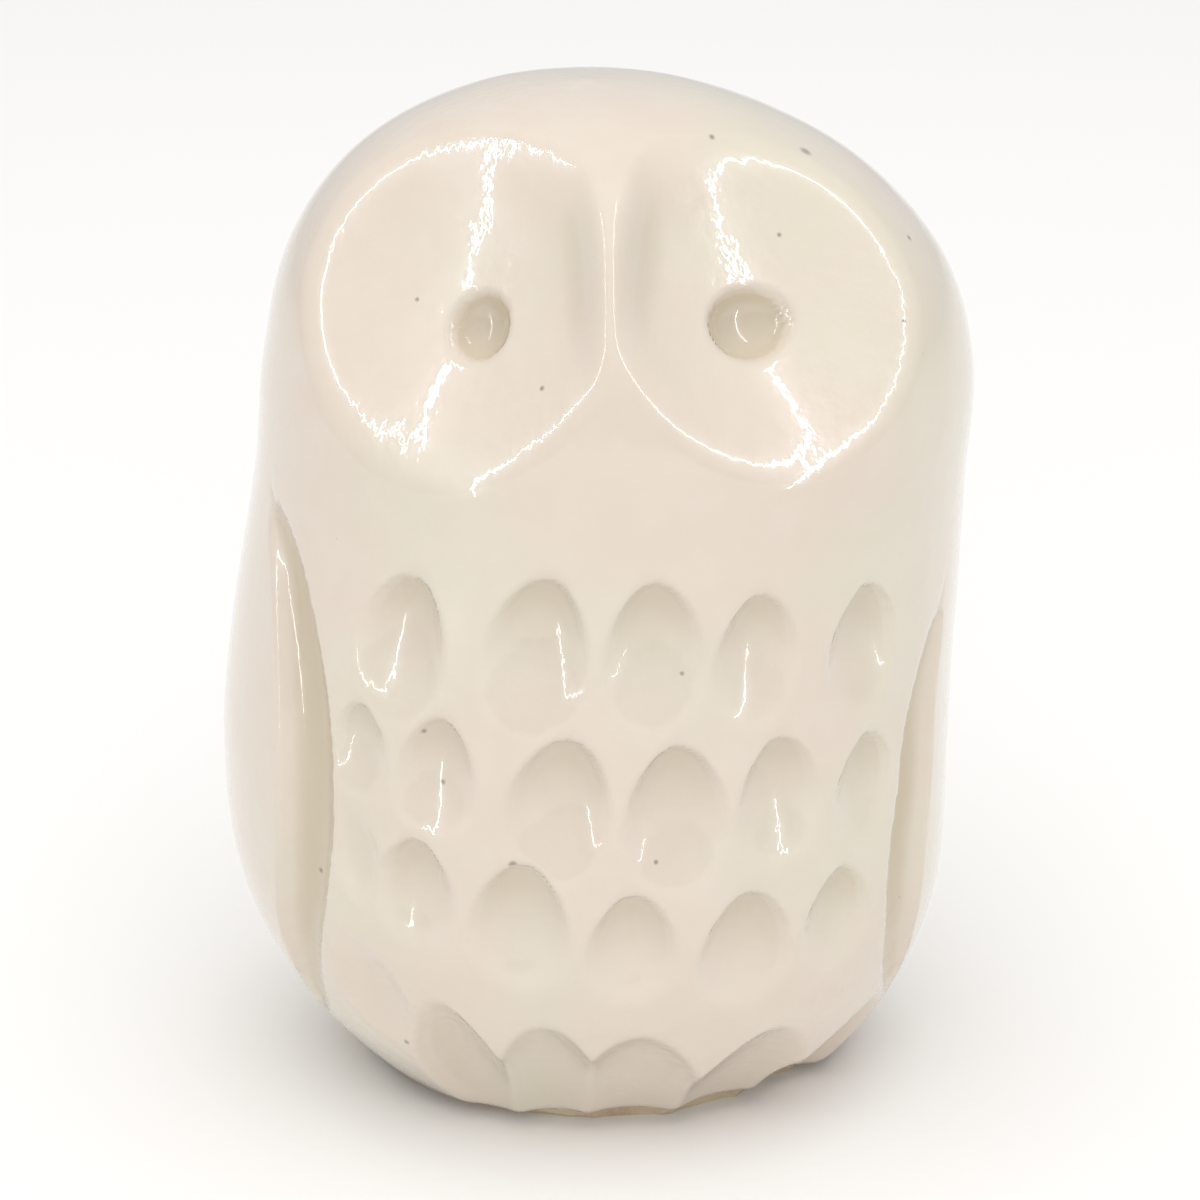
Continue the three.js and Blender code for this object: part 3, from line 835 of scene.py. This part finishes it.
def add_lights(middle):
    world = bpy.data.worlds.new("studio")
    world.use_nodes = True
    background = world.node_tree.nodes["Background"]
    background.inputs["Color"].default_value = (1.0, 1.0, 1.0, 1.0)
    background.inputs["Strength"].default_value = WORLD_STRENGTH
    bpy.context.scene.world = world
    for name, place, size, power in SOFT_LIGHTS:
        facing = middle - Vector(place)
        light = add_area_light(name, place, size, power, facing, Vector(LIGHT_UP))
        light.visible_glossy = False
    for name, lower, upper, power in STRIP_LIGHTS:
        along = Vector(upper) - Vector(lower)
        place = (Vector(lower) + Vector(upper)) / 2
        size = (STRIP_WIDTH, along.length)
        light = add_area_light(name, place, size, power, middle - place, along)
        light.visible_diffuse = False


def add_camera():
    lens = bpy.data.cameras.new("camera")
    lens.sensor_width = SENSOR_WIDTH
    lens.lens = CAMERA_LENS
    lens.clip_start = NEAR_CLIP
    camera = bpy.data.objects.new("camera", lens)
    bpy.context.scene.collection.objects.link(camera)
    rise = math.radians(CAMERA_ELEVATION)
    back = Vector((0.0, -math.cos(rise), math.sin(rise))) * CAMERA_DISTANCE
    aim = Vector((0.0, 0.0, CAMERA_AIM_HEIGHT))
    camera.location = aim + back
    camera.rotation_euler = (math.pi / 2 - rise, 0.0, 0.0)
    bpy.context.scene.camera = camera


def corners(box):
    return [[float(value) for value in corner] for corner in box]


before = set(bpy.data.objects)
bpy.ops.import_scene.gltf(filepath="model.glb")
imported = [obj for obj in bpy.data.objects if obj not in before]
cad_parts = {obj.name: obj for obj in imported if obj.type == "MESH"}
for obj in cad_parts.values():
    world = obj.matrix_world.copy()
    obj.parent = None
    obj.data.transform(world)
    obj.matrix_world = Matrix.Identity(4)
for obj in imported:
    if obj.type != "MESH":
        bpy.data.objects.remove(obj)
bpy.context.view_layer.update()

cuts = all_cuts()
glaze = glaze_coat(cuts)
give_material(glaze, glaze_material(cuts))
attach(glaze, "root")
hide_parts("glaze_coat")
give_material(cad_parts["clay_body"], clay_material("fired_clay", CLAY_PALE, CLAY_DARK, 0.5))
slab_clay = clay_material("fired_slab_clay", SLAB_PALE, SLAB_DARK, 0.7)
give_material(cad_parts["floor_slab"], slab_clay)

add_floor()
low, high = (Vector(corner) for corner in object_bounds())
add_lights((low + high) / 2)
add_camera()
bpy.context.scene.view_settings.view_transform = "Standard"
